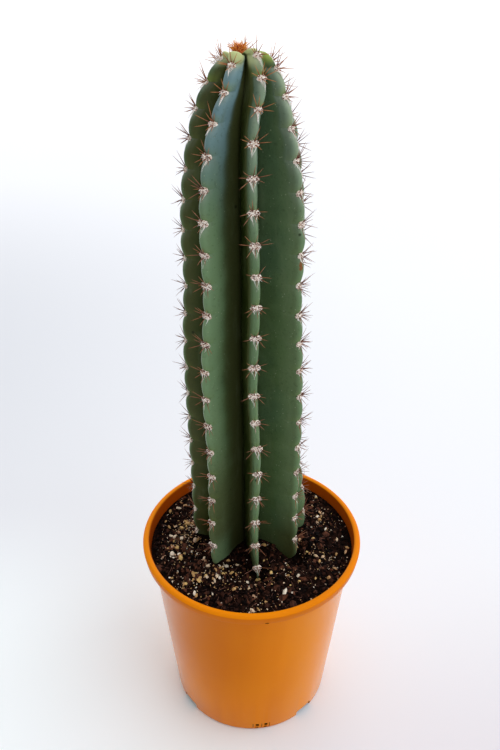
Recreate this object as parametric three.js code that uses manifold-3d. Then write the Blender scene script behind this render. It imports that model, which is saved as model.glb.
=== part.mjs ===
import * as THREE from "three";
import { mergeVertices } from "three/addons/utils/BufferGeometryUtils.js";
import Module from "manifold-3d";

// A columnar cactus with seven ribs, standing in the soil of an orange plastic nursery pot.
// Millimetres, +Z up, front towards -Y. The origin is on the ground under the middle of the pot.
// An azimuth is in degrees, from the front round towards +X.

const wasm = await Module();
wasm.setup();

// Pot
const potHeight = 188;
const rimRadius = 100;
const lipWidth = 5.8;
const skirtHeight = 9.7;
const baseRadius = 75.8;
const topWallRadius = 92.2;
const wall = 1.5;
const landInner = 57;
const domeRise = 4.5;
const floorThickness = 2.5;
const notchAzimuths = [-52.5, 43.3];
const notchWidth = 19;
const notchHeight = 7;
const windowAzimuth = 8.6;
const slotAngle = 3.5;
const slotWidth = 2.4;
const slotHeights = [
  [1.2, 4],
  [5, 8.2],
];
const drainCircle = 36;
const drainCount = 6;
const drainRadius = 5;

// Soil
const soilAtWall = 176.6;
const moundHeight = 3.4;
const granuleCount = 52;

// Stem. The areoles of a rib start at its own phase, counted in areoles from the tip, and each
// rib has its own pitch beside the common one. Near the tip a rib turns by its own twist, lower
// down it wanders in its own wave, and at the tip it ends in a knuckle of its own height. The
// knuckle's shares are those of a rib's shoulder, crest, shoulder and valley.
const ribAzimuths = [10, 61.4, 112.9, 164.3, 215.7, 267.1, 321.2];
const ribPhases = [0.02, 0.78, 0.7, 0.25, 0.85, 0.36, 0.53];
const ribPitches = [1.011, 1.002, 1, 1.006, 0.995, 0.99, 1.002];
const ribTwists = [17, 10, 14, 16, 18, 20, 10];
const ribWaves = [1.8, 0.4, 3.3, 4.4, 5.2, 6.2, 2];
const knuckleHeights = [3.4, 3, 1.6, 1.2, 1.4, 2.6, 3.4];
const knuckleParts = [0.22, 0.5, 0.8, 1];
const knuckleShares = [0.75, 1, 0.75, 0];
const ribCount = ribAzimuths.length;
const stemBottom = 130;
const stemTop = 600;
const cellCount = 19;
const crestRadius = 47.6;
const valleyRadius = 13;
const waistHeight = 440;
const waistDepth = 0.045;
const twistHeight = 573;
const twistLength = 5.8;
const wander = 1.5;
const waveLength = 24;
const ribHalfWidth = 3.8;
const shoulder = 3;
const bulge = 3.2;
const areoleWidth = 3.5;
const areoleHeight = 3.4;
const areoleDepth = 2.1;
const spinesPerAreole = 5;
const spineLength = 11;
const spineRoot = 0.9;

// Tuft of young spines at the growing tip
const tuftPlace = [-9.8, 1.6];
const tuftFloor = 597;
const tuftRadius = 4.8;
const tuftSpines = 26;

// Clearance between pieces that touch
const gap = 0.35;
const turns = 60;
const degree = Math.PI / 180;

// A repeatable random number between 0 and 1.
function randomFrom(seed) {
  let state = seed;
  return () => {
    state = (state * 1664525 + 1013904223) % 4294967296;
    return state / 4294967296;
  };
}

function around(azimuth, radius, z) {
  const angle = azimuth * degree;
  return new THREE.Vector3(radius * Math.sin(angle), -radius * Math.cos(angle), z);
}

function smoothStep(low, high, value) {
  const t = Math.min(1, Math.max(0, (value - low) / (high - low)));
  return t * t * (3 - 2 * t);
}

// A closed geometry as a solid that can be joined and cut.
function solidOf(geometry) {
  const bare = geometry.clone();
  bare.deleteAttribute("normal");
  bare.deleteAttribute("uv");
  const merged = mergeVertices(bare, 1e-4);
  const vertProperties = merged.attributes.position.array;
  const triVerts = new Uint32Array(merged.index.array);
  return new wasm.Manifold(new wasm.Mesh({ numProp: 3, vertProperties, triVerts }));
}

function geometryOf(solid) {
  const mesh = solid.getMesh();
  const geometry = new THREE.BufferGeometry();
  geometry.setAttribute("position", new THREE.BufferAttribute(mesh.vertProperties, 3));
  geometry.setIndex(new THREE.BufferAttribute(mesh.triVerts, 1));
  return geometry;
}

// Turns an outline of [radius, height] points about the Z axis.
function turned(outline) {
  const points = outline.map(([radius, height]) => new THREE.Vector2(radius, height));
  return new THREE.LatheGeometry(points, turns).rotateX(Math.PI / 2);
}

// Closes a stack of equal loops, from the lowest to the highest, with a fan at each end.
function stacked(loops, lowCentre, highCentre) {
  const size = loops[0].length;
  const points = [...loops.flat(), lowCentre, highCentre];
  const low = points.length - 2;
  const high = points.length - 1;
  const top = (loops.length - 1) * size;
  const faces = [];
  for (let i = 0; i < size; i += 1) {
    const next = (i + 1) % size;
    faces.push(low, next, i);
    faces.push(high, top + i, top + next);
    for (let row = 0; row < top; row += size) {
      faces.push(row + i, row + next, row + size + next);
      faces.push(row + i, row + size + next, row + size + i);
    }
  }
  const geometry = new THREE.BufferGeometry().setFromPoints(points);
  geometry.setIndex(faces);
  return geometry;
}

// A three-sided needle whose root lies at a point and which runs along a direction.
function needle(root, direction, length, radius) {
  const cone = new THREE.ConeGeometry(radius, length, 3).translate(0, length / 2, 0);
  const turn = new THREE.Quaternion().setFromUnitVectors(new THREE.Vector3(0, 1, 0), direction);
  return cone.applyQuaternion(turn).translate(root.x, root.y, root.z);
}

function wallRadius(z) {
  return baseRadius + ((topWallRadius - baseRadius) * z) / (potHeight - skirtHeight);
}

// The moulded pot: domed floor, land that it stands on, tapered wall, shoulder and a skirt under the lip.
function potOutline() {
  const skirt = potHeight - skirtHeight;
  const lip = rimRadius - lipWidth;
  return [
    [0, domeRise],
    [landInner - 4, domeRise],
    [landInner, 0],
    [baseRadius - 1.3, 0],
    [baseRadius, 1.4],
    [wallRadius(172), 172],
    [lip + 0.7, 176],
    [lip + 1.4, 185],
    [rimRadius - 2.1, 185],
    [rimRadius - 2.7, skirt],
    [rimRadius - 1.1, skirt],
    [rimRadius, potHeight - 2.4],
    [rimRadius - 1.8, potHeight - 0.2],
    [lip + 1.4, potHeight],
    [lip, potHeight - 1],
    [lip - 0.8, 175.5],
    [wallRadius(171) - wall, 171],
    [baseRadius - wall, 4],
    [baseRadius - wall - 1.7, floorThickness],
    [landInner + 0.7, floorThickness],
    [landInner - 3.3, domeRise + floorThickness],
    [0, domeRise + floorThickness],
  ];
}

// A block that cuts through the wall at an azimuth, from one height to another.
function wallCutter(azimuth, width, low, high, depth) {
  const block = new THREE.BoxGeometry(width, depth, high - low);
  block.translate(0, -baseRadius, (low + high) / 2);
  return solidOf(block.rotateZ(azimuth * degree));
}

function drainCutter(azimuth) {
  const hole = new THREE.CylinderGeometry(drainRadius, drainRadius, 20, 16).rotateX(Math.PI / 2);
  const place = around(azimuth, drainCircle, domeRise);
  return solidOf(hole.translate(place.x, place.y, place.z));
}

function makePot() {
  const cutters = [];
  for (const azimuth of notchAzimuths) {
    cutters.push(wallCutter(azimuth, notchWidth, -1, notchHeight, 24));
    cutters.push(wallCutter(azimuth + 180, notchWidth, -1, notchHeight, 24));
  }
  for (const side of [-1, 1]) {
    for (const [low, high] of slotHeights) {
      cutters.push(wallCutter(windowAzimuth + side * slotAngle, slotWidth, low, high, 8));
    }
  }
  for (let i = 0; i < drainCount; i += 1) {
    cutters.push(drainCutter((i * 360) / drainCount));
  }
  return geometryOf(solidOf(turned(potOutline())).subtract(wasm.Manifold.union(cutters)));
}

// How far the areoles of a rib have come down from the tip, counted in areoles: close at the tip,
// then steadily further apart towards the soil.
function areoleDrop(count) {
  return 20.7 * count + 0.17 * count * count - 17.2 * (1 - Math.exp(-count / 1.43));
}

const ribs = ribAzimuths.map((azimuth, index) => ({
  azimuth,
  phase: ribPhases[index],
  pitch: ribPitches[index],
  twist: ribTwists[index],
  wave: ribWaves[index],
  knuckle: knuckleHeights[index],
}));

// The stem leans a little to the left and stands a little behind the pot's middle.
function stemAxis(z) {
  const rise = (z - stemBottom) / (stemTop - stemBottom);
  return new THREE.Vector3(-2 - 4 * Math.sin(0.62 * Math.PI * rise), 6.4 - 2.6 * rise, z);
}

// Radius of the notches that the areoles sit in: a dome at the tip and a slight waist lower down.
function notchRadius(z) {
  const dome = 1 - 0.707 * Math.exp(-0.0196 * (stemTop + 4 - z));
  const waist = 1 - waistDepth * Math.exp(-(((z - waistHeight) / 32) ** 2));
  return crestRadius * dome * waist;
}

// Near the tip the ribs turn round the stem, and along their length they wander a little.
function ribTurn(rib, z) {
  const twist = rib.twist / (1 + Math.exp((twistHeight - z) / twistLength));
  return twist + wander * Math.sin(z / waveLength + rib.wave);
}

// One place on a rib: the count runs in areoles from the first one, with a whole number in each notch.
function ribStation(rib, count) {
  const z = Math.max(stemBottom, stemTop - rib.pitch * areoleDrop(count + rib.phase));
  const along = count - Math.floor(count);
  const swell = Math.sin(Math.PI * along) ** 0.7 * smoothStep(162, 176, z);
  const rise = 1 - smoothStep(stemTop - 60, stemTop, z);
  return {
    z,
    radius: notchRadius(z) + bulge * swell * (0.5 + 0.5 * rise),
    halfWidth: ribHalfWidth - 0.5 + 0.7 * swell,
    azimuth: rib.azimuth + ribTurn(rib, z),
  };
}

function ribPoint(station, inward, sideways) {
  const axis = stemAxis(station.z);
  const out = around(station.azimuth, station.radius - inward, 0);
  const side = around(station.azimuth + 90, sideways, 0);
  return axis.add(out).add(side);
}

// One loop of the section, seven times a shoulder, a crest, a shoulder and a valley.
function sectionLoop(count, grow) {
  const stations = ribs.map((rib) => ribStation(rib, count));
  return stations.flatMap((station, index) => {
    const next = stations[(index + 1) % ribCount];
    const wide = station.halfWidth + grow;
    const z = (station.z + next.z) / 2;
    const between = (station.azimuth + next.azimuth + (index === ribCount - 1 ? 360 : 0)) / 2;
    const deep = Math.min(valleyRadius, 0.55 * notchRadius(z)) + 2 * grow;
    return [
      ribPoint(station, shoulder - grow, -wide),
      ribPoint(station, -grow, 0),
      ribPoint(station, shoulder - grow, wide),
      stemAxis(z).add(around(between, deep, 0)),
    ];
  });
}

function flatLoop(loop, z) {
  return loop.map((point) => new THREE.Vector3(point.x, point.y, z));
}

// The ribbed body from the soil up to a number of areoles under the tip.
function stemBody(firstCount, bottom, grow) {
  const loops = [];
  for (let cell = cellCount - 1; cell >= firstCount; cell -= 1) {
    for (const part of [0.7, 0.3, 0]) {
      loops.push(sectionLoop(cell + part, grow));
    }
  }
  loops.unshift(flatLoop(loops[0], bottom));
  return loops;
}

// Closes the tip: above its first areole each rib arches over as a knuckle, with a groove on both
// sides, to the edge of the small round pit that the young spines sit in.
function tipLoops() {
  const crown = new THREE.Vector3(tuftPlace[0], tuftPlace[1], tuftFloor);
  const last = sectionLoop(0, 0);
  const edge = flatLoop(last, tuftFloor).map((point) =>
    point.sub(crown).setLength(tuftRadius + 0.8).add(crown),
  );
  return knuckleParts.map((part) =>
    last.map((point, index) => {
      const rib = ribs[Math.floor(index / knuckleShares.length)];
      const height = rib.knuckle * knuckleShares[index % knuckleShares.length];
      const place = point.clone().lerp(edge[index], part);
      place.z += height * Math.sin(Math.PI * part) ** 0.7;
      return place;
    }),
  );
}

// An areole is a low woolly cushion in the notch of a crest. Its spines stand in a ring round the
// middle of the cushion, each on its own small three-cornered root, and lean out from the rib.
function areole(rib, count, random) {
  const station = ribStation(rib, count);
  const place = ribPoint(station, 0, 0);
  const above = ribPoint(ribStation(rib, Math.max(count - 1, -rib.phase)), 0, 0);
  const up = above.sub(place).normalize();
  const side = around(station.azimuth + 90, 1, 0);
  const out = new THREE.Vector3().crossVectors(side, up).normalize();
  const at = (across, along, proud) =>
    place.clone().addScaledVector(side, across).addScaledVector(up, along).addScaledVector(out, proud);
  const points = [at(0, 0, -areoleDepth), at(0, 0, areoleDepth)];
  const faces = [];
  for (let i = 0; i < spinesPerAreole; i += 1) {
    const corner = ((i - 0.25) / spinesPerAreole) * 2 * Math.PI;
    const middle = corner + Math.PI / spinesPerAreole;
    const across = Math.cos(corner);
    const along = Math.sin(corner);
    points.push(at(areoleWidth * across, areoleHeight * along, 0));
    points.push(at(spineRoot * across, spineRoot * along, areoleDepth - 0.2));
    const lean = (46 + 18 * random()) * degree;
    const length = spineLength * (0.75 + 0.5 * random());
    const reach = at(
      length * Math.sin(lean) * Math.cos(middle),
      length * Math.sin(lean) * Math.sin(middle),
      areoleDepth + length * Math.cos(lean),
    );
    points.push(clearOfSoil(points[1], reach));
    const next = (i + 1) % spinesPerAreole;
    const [rim, root, tip] = [2 + 3 * i, 3 + 3 * i, 4 + 3 * i];
    const [nextRim, nextRoot] = [2 + 3 * next, 3 + 3 * next];
    faces.push(0, nextRim, rim, rim, nextRim, nextRoot, rim, nextRoot, root);
    faces.push(root, nextRoot, tip, nextRoot, 1, tip, 1, root, tip);
  }
  const geometry = new THREE.BufferGeometry().setFromPoints(points);
  geometry.setIndex(faces);
  return solidOf(geometry);
}

// A spine near the soil is shorter, so that its tip stays above the granules.
function clearOfSoil(root, tip) {
  const lowest = soilAtWall + moundHeight + 5;
  const share = tip.z < lowest ? (root.z - lowest) / (root.z - tip.z) : 1;
  return root.clone().lerp(tip, Math.max(0.3, share));
}

function makeStem() {
  const loops = [...stemBody(0, stemBottom, 0), ...tipLoops()];
  const axis = stemAxis(stemBottom);
  const tip = new THREE.Vector3(tuftPlace[0], tuftPlace[1], tuftFloor);
  const random = randomFrom(7);
  const pieces = [solidOf(stacked(loops, axis, tip))];
  for (const rib of ribs) {
    for (let count = 0; count < cellCount; count += 1) {
      if (ribStation(rib, count).z > soilAtWall + moundHeight + 5) {
        pieces.push(areole(rib, count, random));
      }
    }
  }
  return geometryOf(wasm.Manifold.union(pieces));
}

function makeTuft() {
  const random = randomFrom(23);
  const x = tuftPlace[0];
  const y = tuftPlace[1];
  const z = tuftFloor + gap;
  const dome = closedDome(tuftRadius, 3.4).translate(x, y, z);
  const pieces = [solidOf(dome)];
  for (let i = 0; i < tuftSpines; i += 1) {
    const turn = i * 137.5 * degree;
    const spread = Math.sqrt((i + 0.5) / tuftSpines);
    const root = new THREE.Vector3(x, y, z + 1.2);
    root.x += 0.62 * tuftRadius * spread * Math.cos(turn);
    root.y += 0.62 * tuftRadius * spread * Math.sin(turn);
    const lean = 0.75 * spread;
    const direction = new THREE.Vector3(Math.cos(turn) * lean, Math.sin(turn) * lean, 1).normalize();
    pieces.push(solidOf(needle(root, direction, 6.2 + 1.6 * random(), 0.7)));
  }
  return geometryOf(wasm.Manifold.union(pieces));
}

// A low dome with a flat underside.
function closedDome(radius, height) {
  const outline = [
    [0, 0],
    [radius, 0],
    [0.92 * radius, 0.45 * height],
    [0.6 * radius, 0.85 * height],
    [0, height],
  ];
  const points = outline.map(([r, h]) => new THREE.Vector2(r, h));
  return new THREE.LatheGeometry(points, 12).rotateX(Math.PI / 2);
}

// Height of the soil: a low mound round the stem, with small crumbs all over.
function soilHeight(x, y) {
  const radius = Math.hypot(x, y);
  const mound = moundHeight * (1 - smoothStep(30, 88, radius));
  const coarse = Math.sin(x * 0.31 + y * 0.17) * Math.sin(y * 0.27 - x * 0.11);
  const fine = Math.sin(x * 0.71) * Math.sin(y * 0.67);
  return soilAtWall + mound + 0.55 * (coarse + fine) * (1 - smoothStep(84, 92, radius));
}

// The filling of the pot: sides that follow the wall and the floor, and an uneven top.
function soilBody() {
  const outline = [
    [landInner - 3, domeRise + floorThickness + gap],
    [landInner + 1, floorThickness + gap],
    [baseRadius - wall - 1.9, floorThickness + gap],
    [baseRadius - wall - 0.5, 4.3],
    [wallRadius(171) - wall - 0.45, 171],
    [rimRadius - lipWidth - 1.25, 175.6],
  ];
  const loops = outline.map(([radius, z]) => ring(radius, () => z));
  for (const radius of [92.9, 84, 74, 63, 51, 38, 22]) {
    loops.push(ring(radius, soilHeight));
  }
  const low = new THREE.Vector3(0, 0, domeRise + floorThickness + gap);
  const high = new THREE.Vector3(0, 0, soilHeight(0, 0));
  return stacked(loops, low, high);
}

function ring(radius, height) {
  const points = [];
  for (let i = 0; i < turns; i += 1) {
    const point = around((i * 360) / turns, radius, 0);
    point.z = height(point.x, point.y);
    points.push(point);
  }
  return points;
}

// Pale granules that stand half out of the soil.
function granules() {
  const random = randomFrom(41);
  const pieces = [];
  while (pieces.length < granuleCount) {
    const place = around(random() * 360, 88 * Math.sqrt(random()), 0);
    const size = 1.6 + 1.6 * random();
    const stone = new THREE.OctahedronGeometry(size, 0);
    stone.scale(1, 0.75 + 0.3 * random(), 0.7).rotateX(random()).rotateZ(6 * random());
    place.z = soilHeight(place.x, place.y) + 0.1 * size;
    pieces.push(solidOf(stone.translate(place.x, place.y, place.z)));
  }
  return pieces;
}

// The hole that the stem stands in is the stem's own section, a little wider.
function stemHole() {
  const loops = stemBody(cellCount - 3, stemBottom - gap, gap);
  const top = loops.length - 1;
  const lid = stemAxis(loops[top][0].z);
  return solidOf(stacked(loops, stemAxis(stemBottom - gap), lid));
}

function makeSoil() {
  const filled = wasm.Manifold.union([solidOf(soilBody()), ...granules()]);
  return geometryOf(filled.subtract(stemHole()));
}

function piece(name, geometry, color, roughness) {
  const material = new THREE.MeshStandardMaterial({ color, roughness, metalness: 0 });
  const mesh = new THREE.Mesh(geometry, material);
  mesh.name = name;
  return mesh;
}

const cactus = new THREE.Group();
cactus.name = "potted_tall_cactus";
cactus.add(piece("pot", makePot(), 0xd9780f, 0.45));
cactus.add(piece("soil", makeSoil(), 0x2a1c14, 0.95));
cactus.add(piece("stem", makeStem(), 0x2f5233, 0.5));
cactus.add(piece("crown_tuft", makeTuft(), 0xd06a1c, 0.6));

export default cactus;
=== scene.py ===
# %% [markdown]
# # A tall ribbed cactus in an orange nursery pot
#
# This lesson dresses a measured model of a potted column cactus. The measured model, the frame,
# already holds four solids in the right place and size: the pot, the soil, the stem and a small
# tuft at the tip. Here each of them gets a finer form and a finish of its own. Lengths are written
# in millimetres and multiplied by MM where a mesh is made, because Blender works in metres.

# %% Loading the frame
import math
import random

import bpy
import numpy as np
from mathutils import Matrix, Vector
from mathutils.bvhtree import BVHTree


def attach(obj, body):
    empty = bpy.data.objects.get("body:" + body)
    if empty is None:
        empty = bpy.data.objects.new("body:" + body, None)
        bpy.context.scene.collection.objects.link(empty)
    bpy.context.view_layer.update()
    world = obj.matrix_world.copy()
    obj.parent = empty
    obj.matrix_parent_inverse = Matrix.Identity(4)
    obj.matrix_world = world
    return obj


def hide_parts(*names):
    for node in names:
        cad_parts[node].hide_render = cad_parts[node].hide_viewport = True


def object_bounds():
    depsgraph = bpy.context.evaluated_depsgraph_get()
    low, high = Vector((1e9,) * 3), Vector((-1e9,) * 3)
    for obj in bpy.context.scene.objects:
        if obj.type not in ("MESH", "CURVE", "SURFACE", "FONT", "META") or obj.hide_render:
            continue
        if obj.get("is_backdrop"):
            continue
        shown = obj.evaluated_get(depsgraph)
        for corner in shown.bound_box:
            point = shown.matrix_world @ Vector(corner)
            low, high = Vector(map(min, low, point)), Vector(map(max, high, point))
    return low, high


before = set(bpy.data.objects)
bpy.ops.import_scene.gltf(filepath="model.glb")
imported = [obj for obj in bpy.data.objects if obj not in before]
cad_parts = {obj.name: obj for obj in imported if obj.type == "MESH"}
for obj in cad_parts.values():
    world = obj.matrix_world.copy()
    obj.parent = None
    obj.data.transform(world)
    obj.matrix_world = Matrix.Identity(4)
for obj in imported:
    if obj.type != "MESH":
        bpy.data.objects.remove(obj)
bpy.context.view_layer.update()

MM = 0.001
print("frame nodes:", sorted(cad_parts))

# %% [markdown]
# ## The camera
#
# The photographer stood close and looked down at about 32 degrees, so the pot seems to taper more
# than it does. The lens and the place of the camera were found from the ellipse of the pot's rim and
# the height of the stem. It comes first, so that every later step can be looked at through it.

# %% Camera
LENS = 36.04
SENSOR_HEIGHT = 36
CAMERA_PLACE = (-0.00201, -0.5143, 0.6771)
CAMERA_PITCH = math.radians(58.19)
CAMERA_ROLL = math.radians(0.20)
camera_data = bpy.data.cameras.new("photo_camera")
camera_data.sensor_fit = "VERTICAL"
camera_data.sensor_height = SENSOR_HEIGHT
camera_data.lens = LENS
camera_data.clip_start = 0.01
camera = bpy.data.objects.new("photo_camera", camera_data)
bpy.context.scene.collection.objects.link(camera)
turned = Matrix.Rotation(CAMERA_PITCH, 4, "X") @ Matrix.Rotation(CAMERA_ROLL, 4, "Z")
camera.matrix_world = Matrix.Translation(CAMERA_PLACE) @ turned
bpy.context.scene.camera = camera
print("camera at", [round(v, 3) for v in camera.matrix_world.translation])

# %% [markdown]
# ## Working as by hand
#
# The pieces are modelled with the same operators that a person uses. An operator acts on whatever is
# selected, so each primitive is added with nothing else selected, and its faces are picked by where
# they are. These few helpers keep that habit in one place.

# %% Small modelling helpers
def clear_selection():
    if bpy.context.object and bpy.context.object.mode != "OBJECT":
        bpy.ops.object.mode_set(mode="OBJECT")
    bpy.ops.object.select_all(action="DESELECT")


def named(name):
    """Names the newest primitive, settles its place into its mesh and gives it back."""
    piece = bpy.context.object
    piece.name = name
    piece.data.name = name
    bpy.ops.object.transform_apply(location=True, rotation=True, scale=True)
    return piece


def work_on(piece):
    clear_selection()
    piece.select_set(True)
    bpy.context.view_layer.objects.active = piece


def edit_all(piece):
    """Opens a piece in edit mode with all of it selected."""
    work_on(piece)
    bpy.ops.object.mode_set(mode="EDIT")
    bpy.ops.mesh.select_all(action="SELECT")


def smooth_below(piece, degrees):
    """Shades a piece smooth, apart from edges that are sharper than this."""
    work_on(piece)
    bpy.ops.object.shade_smooth_by_angle(angle=math.radians(degrees))


def use_modifier(piece, kind, **settings):
    work_on(piece)
    modifier = piece.modifiers.new(kind.lower(), kind)
    for setting, value in settings.items():
        setattr(modifier, setting, value)
    bpy.ops.object.modifier_apply(modifier=modifier.name)


def turn_piece(name, outline, sides):
    """A solid of revolution, drawn up from a disc along [radius, height] points."""
    clear_selection()
    radius_now, height_now = outline[0]
    place = (0, 0, height_now * MM)
    bpy.ops.mesh.primitive_circle_add(
        vertices=sides, radius=radius_now * MM, fill_type="NGON", location=place)
    piece = named(name)
    edit_all(piece)
    for radius, height in outline[1:]:
        lift = {"value": (0, 0, (height - height_now) * MM)}
        bpy.ops.mesh.extrude_region_move(TRANSFORM_OT_translate=lift)
        scale = radius / radius_now
        bpy.ops.transform.resize(value=(scale, scale, 1), center_override=(0, 0, 0))
        radius_now, height_now = radius, height
    bpy.ops.mesh.select_all(action="SELECT")
    bpy.ops.mesh.normals_make_consistent(inside=False)
    bpy.ops.object.mode_set(mode="OBJECT")
    return piece


def around(azimuth, radius, height=0.0):
    """A place in mm. The azimuth is in degrees, from the front round towards +X."""
    angle = math.radians(azimuth)
    return Vector((radius * math.sin(angle), -radius * math.cos(angle), height))


def smooth_step(low, high, value):
    t = np.clip((value - low) / (high - low), 0, 1)
    return t * t * (3 - 2 * t)


def report(piece):
    piece.data.calc_loop_triangles()
    print(piece.name, "has", len(piece.data.loop_triangles), "triangles")


print("helpers are ready")

# %% [markdown]
# ## Materials as sums
#
# A material is a small calculation: masks are multiplied, added and clipped. Written node by node that
# is long, so the class Value wraps one socket and lets Python's own signs add the Math nodes. The
# class Finish holds one material, or the world's light, and adds every other kind of node with a
# single method. It keeps the colour it has so far, so each further tint is laid over the others.

# %% Shader maths
class Value:
    """One output socket of a finish, which can be added, multiplied and so on."""

    def __init__(self, finish, socket):
        self.finish = finish
        self.socket = socket

    def maths(self, operation, *terms):
        inputs = dict(enumerate(terms))
        return self.finish.node("ShaderNodeMath", {"operation": operation}, inputs)

    def __add__(self, other):
        return self.maths("ADD", self, other)

    def __sub__(self, other):
        return self.maths("SUBTRACT", self, other)

    def __rsub__(self, other):
        return self.maths("SUBTRACT", other, self)

    def __mul__(self, other):
        return self.maths("MULTIPLY", self, other)

    __radd__ = __add__
    __rmul__ = __mul__

    def step(self, low, high):
        """0 below low, 1 above high and smooth between."""
        settings = {"interpolation_type": "SMOOTHSTEP"}
        inputs = {"Value": self, "From Min": low, "From Max": high}
        return self.finish.node("ShaderNodeMapRange", settings, inputs)

    def fade(self, low, high):
        """1 below low, 0 above high and smooth between."""
        return 1 - self.step(low, high)


print("values can be added and multiplied")

# %% Finishes
class Finish:
    """A material, or a world, and an easy way to add nodes to its shader."""

    def __init__(self, name, owners=bpy.data.materials, shader="Principled BSDF", **sockets):
        self.owner = owners.new(name)
        self.owner.use_nodes = True
        self.tree = self.owner.node_tree
        self.shader = self.tree.nodes[shader]
        self.colour = None
        self.set(**sockets)

    def set(self, **sockets):
        for name, value in sockets.items():
            self.plug(self.shader.inputs[name.replace("_", " ")], value)

    def plug(self, socket, value):
        if isinstance(value, Value):
            self.tree.links.new(value.socket, socket)
        else:
            socket.default_value = value

    def node(self, kind, settings=None, inputs=None, output=0):
        made = self.tree.nodes.new(kind)
        for name, value in (settings or {}).items():
            setattr(made, name, value)
        for name, value in (inputs or {}).items():
            self.plug(made.inputs[name], value)
        return Value(self, made.outputs[output])

    def place(self, scale=(1, 1, 1)):
        """The place on the piece, in metres, stretched by a scale."""
        place = self.node("ShaderNodeTexCoord", output="Object")
        return self.node("ShaderNodeMapping", None, {"Vector": place, "Scale": scale})

    def along(self, axis):
        """How far a point lies along X, Y or Z, in metres."""
        return self.node("ShaderNodeSeparateXYZ", None, {0: self.place()}, axis)

    def away_from(self, spot, scale=(1, 1, 1)):
        """How far a point lies from a spot, in metres, with every axis stretched by the scale."""
        stretched = tuple(value * factor for value, factor in zip(spot, scale))
        inputs = {0: self.place(scale), 1: stretched}
        return self.node("ShaderNodeVectorMath", {"operation": "DISTANCE"}, inputs, "Value")

    def noise(self, size, detail=3, stretch=(1, 1, 1), roughness=0.5):
        """Noise with clumps of about this many mm."""
        inputs = {"Vector": self.place(stretch), "Scale": 1 / (size * MM)}
        inputs.update({"Detail": detail, "Roughness": roughness})
        return self.node("ShaderNodeTexNoise", None, inputs)

    def cells(self, per_metre):
        """How far the nearest of many scattered points is, as a share of their spacing."""
        inputs = {"Vector": self.place(), "Scale": per_metre}
        return self.node("ShaderNodeTexVoronoi", None, inputs, "Distance")

    def attribute(self, name):
        return self.node("ShaderNodeAttribute", {"attribute_name": name}, output="Fac")

    def edge_on(self, low, high):
        """0 on a surface seen straight on and 1 on one seen from its edge. It is for gloss only."""
        return self.node("ShaderNodeLayerWeight", None, {"Blend": 0.5}, "Facing").step(low, high)

    def mix(self, factor, first, second):
        settings = {"data_type": "RGBA"}
        inputs = {0: factor, 6: with_alpha(first), 7: with_alpha(second)}
        return self.node("ShaderNodeMix", settings, inputs, output=2)

    def tint(self, mask, colour):
        """Lays a colour over the finish's own where the mask is 1."""
        self.colour = self.mix(mask, self.colour, colour)

    def bump(self, height, depth):
        """A height between 0 and 1 stands for this depth in mm."""
        inputs = {"Height": height, "Distance": depth * MM, "Strength": 1.0}
        return self.node("ShaderNodeBump", None, inputs)


def with_alpha(colour):
    return colour if isinstance(colour, Value) else (*colour, 1)


def dress(piece, finish, node):
    """Gives a piece its finish, hangs it on the root and hides the frame's part that it stands for."""
    finish.set(Base_Color=finish.colour)
    piece.data.materials.clear()
    piece.data.materials.append(finish.owner)
    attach(piece, "root")
    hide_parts(node)
    report(piece)


print("finishes are ready")

# %% [markdown]
# ## Floor and light
#
# The plant stands on a seamless white ground, lit softly from the right and from behind, so the ground
# gets brighter away from the camera and a faint shadow falls to the pot's left. A wide disc, a broad
# soft sun, two area lights and a pale world are enough. Painted shade and light lie on the paper in
# wide soft patches: a cooler painted light close to the pot, painted shadow far to the left and close
# to the right, and a lighter painted patch at the near left. The ground isn't part of the object, so
# it is marked as stage.

# %% Floor
FLOOR_RADIUS = 9
# Each patch has a middle, the distances at which it is full and gone, and a colour. The first two are
# painted shadow, the last is painted light.
FLOOR_PAINTED_LIGHT_AND_SHADE = (
    ((-0.75, 0.65, 0), 0.1, 1.1, (0.70, 0.715, 0.75)),
    ((0.30, -0.25, 0), 0.05, 0.42, (0.75, 0.722, 0.765)),
    ((-0.30, -0.05, 0), 0.05, 0.32, (0.935, 0.985, 1.0)),
)
clear_selection()
just_under = (0, 0, -0.3 * MM)
bpy.ops.mesh.primitive_circle_add(
    vertices=96, radius=FLOOR_RADIUS, fill_type="NGON", location=just_under)
floor = named("floor")
paper = Finish("white_paper", Roughness=0.7, Specular_IOR_Level=0.2)
paper.colour = paper.mix(paper.noise(900), (0.84, 0.85, 0.88), (0.87, 0.88, 0.91))
# Painted light near the pot: cooler all round, against the orange the pot throws on it, and brighter
# at its left.
rightward = paper.along("X").step(-0.06, 0.10)
painted_light_near_pot = paper.mix(rightward, (0.95, 0.995, 1.0), (0.83, 0.895, 0.96))
paper.tint(paper.away_from((0, 0, 0)).fade(0.07, 0.30), painted_light_near_pot)
for middle, full, gone, colour in FLOOR_PAINTED_LIGHT_AND_SHADE:
    paper.tint(paper.away_from(middle).fade(full, gone), colour)
paper.set(Base_Color=paper.colour)
floor.data.materials.append(paper.owner)
floor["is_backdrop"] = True
print("floor is", 2 * FLOOR_RADIUS, "m across")

# %% Lights
GLOW_FROM = (0.12, 0.42, 0.84)
DIMMEST = 0.12
BRIGHTEST = 1.13


def add_light(name, kind, power, colour, place, target):
    """A light at a place that shines at a target, both in metres."""
    light = bpy.data.lights.new(name, kind)
    light.energy = power
    light.color = colour
    holder = bpy.data.objects.new(name, light)
    bpy.context.scene.collection.objects.link(holder)
    aim = (Vector(target) - Vector(place)).to_track_quat("-Z", "Y")
    holder.matrix_world = Matrix.Translation(place) @ aim.to_matrix().to_4x4()
    return light


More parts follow.
